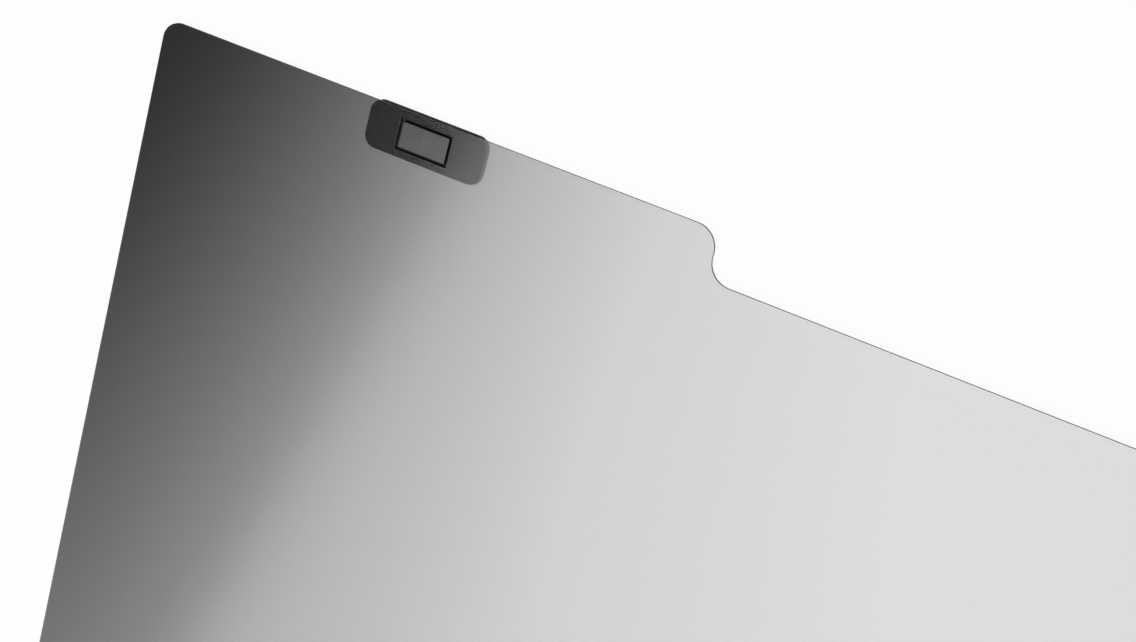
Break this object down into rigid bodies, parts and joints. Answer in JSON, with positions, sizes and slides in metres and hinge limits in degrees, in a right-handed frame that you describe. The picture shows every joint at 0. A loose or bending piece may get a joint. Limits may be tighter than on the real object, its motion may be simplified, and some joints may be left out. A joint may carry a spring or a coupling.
{
  "type": "laptop privacy filter",
  "caption": "Thin louvre-film sheet with rounded corners, a camera notch with S-curved ends in its top edge, and magnet tabs that hold it to a laptop's screen bezel.",
  "frame": {"origin": "middle of the filter's outline, on the plane of the tabs' front faces, which the lying filter rests on", "axes": "+X along the width, to the right as seen from the screen side; +Y towards the edge with the camera notch and tabs; +Z out of the screen side"},
  "size_m": [0.344, 0.2036, 0.0019],
  "materials": {
    "louvre_film": "satin film, see-through square on and dark from the side",
    "tab_plastic": "fine moulded grain",
    "tape": "matt black film tape",
    "magnet_plating": "dull grey plating"
  },
  "bodies": {
    "root": {"filter_sheet": "louvre_film", "left_tab": "tab_plastic", "right_tab": "tab_plastic", "left_tab_tape": "tape", "right_tab_tape": "tape", "left_magnet": "magnet_plating", "right_magnet": "magnet_plating"}
  },
  "joints": []
}
